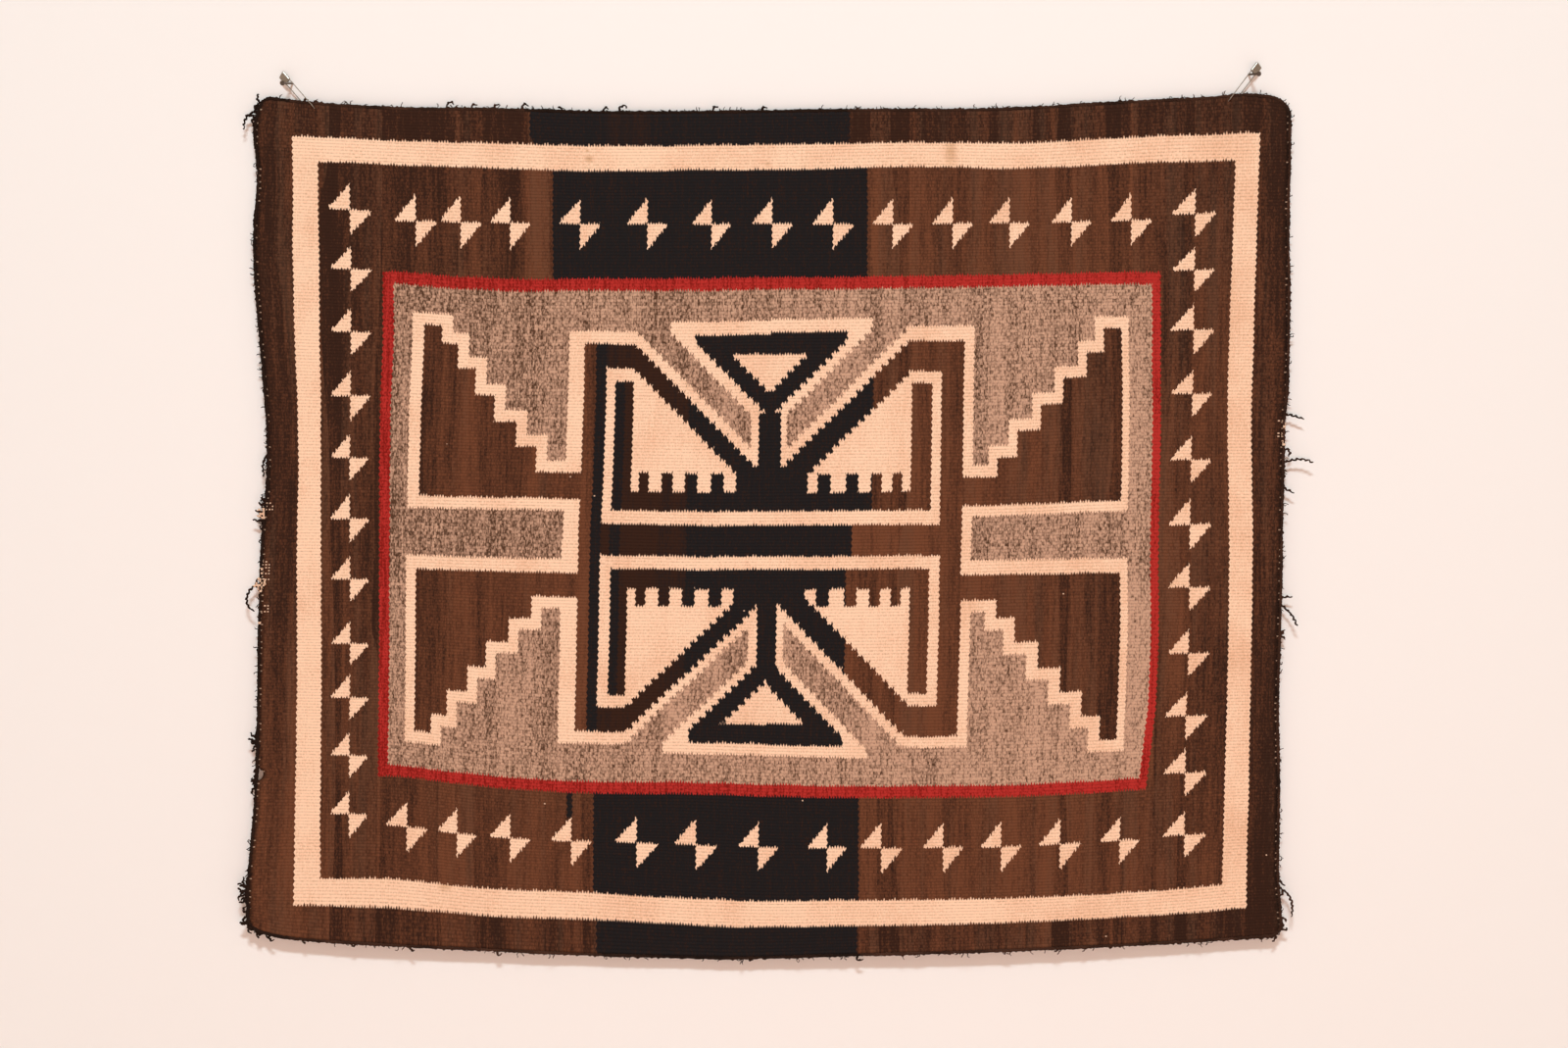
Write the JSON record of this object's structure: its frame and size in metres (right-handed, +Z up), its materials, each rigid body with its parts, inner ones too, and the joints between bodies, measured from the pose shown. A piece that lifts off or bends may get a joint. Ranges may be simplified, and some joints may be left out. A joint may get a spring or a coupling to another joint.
{
  "type": "navajo rug with its safety pins and nails",
  "caption": "Flat hand-woven wool rug with stepped patterns and corded edges, hung sideways by safety pins on nails.",
  "frame": {"origin": "middle of the rug's top edge, at the cloth's middle thickness", "axes": "+X to the right as seen from the front, -Y out of the face, +Z up"},
  "size_m": [1.2036, 0.0261, 1.0069],
  "materials": {
    "wool_web": "weft-faced wool tapestry in cream, brown, black, red and heathered grey",
    "wool_cord": "twisted dark wool yarn",
    "pin_steel": "bright plated wire",
    "nail_steel": "plain steel nail, a little dull"
  },
  "bodies": {
    "root": {"rug_web": "wool_web", "end_cord_left": "wool_cord", "end_cord_right": "wool_cord", "side_cord_top": "wool_cord", "side_cord_bottom": "wool_cord", "safety_pin_left": "pin_steel", "safety_pin_right": "pin_steel", "nail_left": "nail_steel", "nail_right": "nail_steel"}
  },
  "joints": []
}
